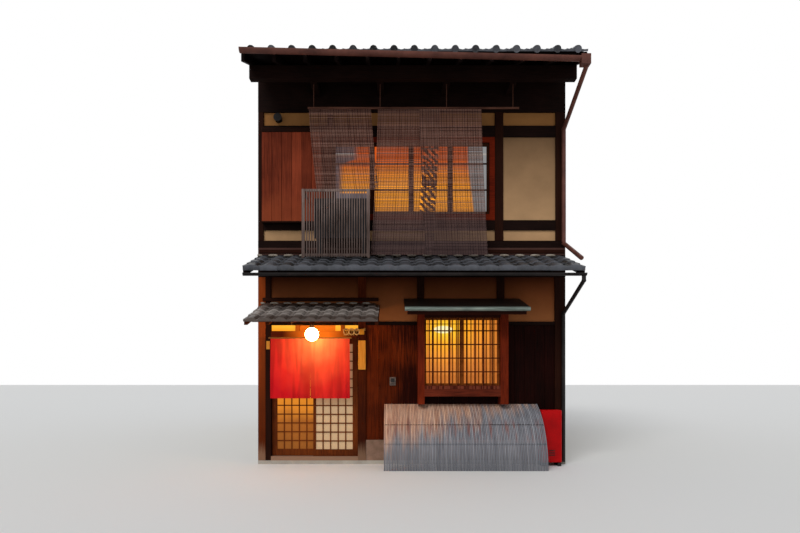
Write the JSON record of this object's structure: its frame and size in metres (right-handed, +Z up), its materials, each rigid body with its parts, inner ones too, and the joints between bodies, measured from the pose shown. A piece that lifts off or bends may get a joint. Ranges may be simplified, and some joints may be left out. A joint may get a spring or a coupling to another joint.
{
  "type": "machiya townhouse",
  "caption": "Two-storey timber townhouse of a row with sliding lattice doors, a lattice bay window, tiled roofs and canopies, a bent bamboo fence and reed screens.",
  "frame": {"origin": "centre of the floor slab's underside, on the ground", "axes": "+X along the front to the viewer's right, +Y into the house, +Z up"},
  "size_m": [4.55, 8.9572, 7.8968],
  "materials": {
    "concrete": "floated concrete",
    "plinth_stone": "sawn grey stone",
    "plaster_grey": "smooth lime plaster",
    "ochre_plaster": "smooth ochre clay plaster",
    "dark_wood": "dark stained cedar",
    "red_wood": "red-brown stained cedar",
    "burnt_boards": "weathered stained boards",
    "door_wood": "worn oiled cedar",
    "floor_boards": "planed boards",
    "pale_board": "planed pale board",
    "rail_wood": "weathered pole",
    "bamboo_rod": "smooth bamboo",
    "grey_bamboo": "weathered split bamboo",
    "reed": "weathered reed",
    "straw": "twisted straw",
    "window_glass": "window glass",
    "lit_paper": "backlit paper",
    "lamp_glass": "opal glass",
    "red_cloth": "dyed cotton",
    "roof_tile": "smoked clay tile",
    "sheet_metal": "weathered copper sheet",
    "dark_gutter": "dark coated metal",
    "copper_brown": "brown coated metal",
    "cover_slats": "grey-brown coated slats",
    "unit_paint": "pale enamel",
    "red_paint": "red enamel",
    "intercom_metal": "brushed"
  },
  "bodies": {
    "house": {"foundation": "concrete", "front_plinth": "plinth_stone", "party_walls": "plaster_grey", "rear_wall": "plaster_grey", "rear_window_frames": "red_wood", "rear_window_glass": "window_glass", "upper_floor": "floor_boards", "front_posts": "dark_wood", "front_beams": "dark_wood", "front_boards": "burnt_boards", "front_plaster": "ochre_plaster", "door_frame": "red_wood", "transom_panes": "lit_paper", "entrance_roof_tiles": "roof_tile", "entrance_roof_frame": "red_wood", "noren_rod": "bamboo_rod", "noren": "red_cloth", "entrance_lamp": "lamp_glass", "name_board": "pale_board", "door_charm": "straw", "intercom": "intercom_metal", "bay_window_posts": "red_wood", "bay_window_rails": "red_wood", "bay_window_lattice": "red_wood", "bay_window_sashes": "red_wood", "bay_window_pane": "lit_paper", "bay_window_canopy": "sheet_metal", "bamboo_fence": "grey_bamboo", "extinguisher_box": "red_paint", "lower_roof_tiles": "roof_tile", "lower_roof_frame": "dark_wood", "lower_gutter": "dark_gutter", "lower_downpipe": "dark_gutter", "condenser_cover": "cover_slats", "condenser_unit": "unit_paint", "shutter_case": "red_wood", "upper_window_frame": "red_wood", "upper_window_sashes": "dark_wood", "upper_window_glass": "window_glass", "screen_rail": "rail_wood", "reed_screens": "reed", "vent_cap": "dark_gutter", "eave_purlin": "dark_wood", "main_roof_tiles": "roof_tile", "main_roof_frame": "dark_wood", "ridge_beam": "dark_wood", "roof_ridge": "roof_tile", "upper_gutter": "copper_brown", "upper_downpipe": "copper_brown"},
    "door_leaf_left": {"door_left_lattice": "door_wood", "door_left_pane": "lit_paper"},
    "door_leaf_right": {"door_right_lattice": "door_wood", "door_right_pane": "lit_paper"}
  },
  "joints": [
    {"name": "door_left_slide", "type": "slide", "parent": "house", "child": "door_leaf_left", "axis": [1, 0, 0], "range_m": [0, 0.615]},
    {"name": "door_right_slide", "type": "slide", "parent": "house", "child": "door_leaf_right", "axis": [1, 0, 0], "range_m": [-0.615, 0]}
  ]
}
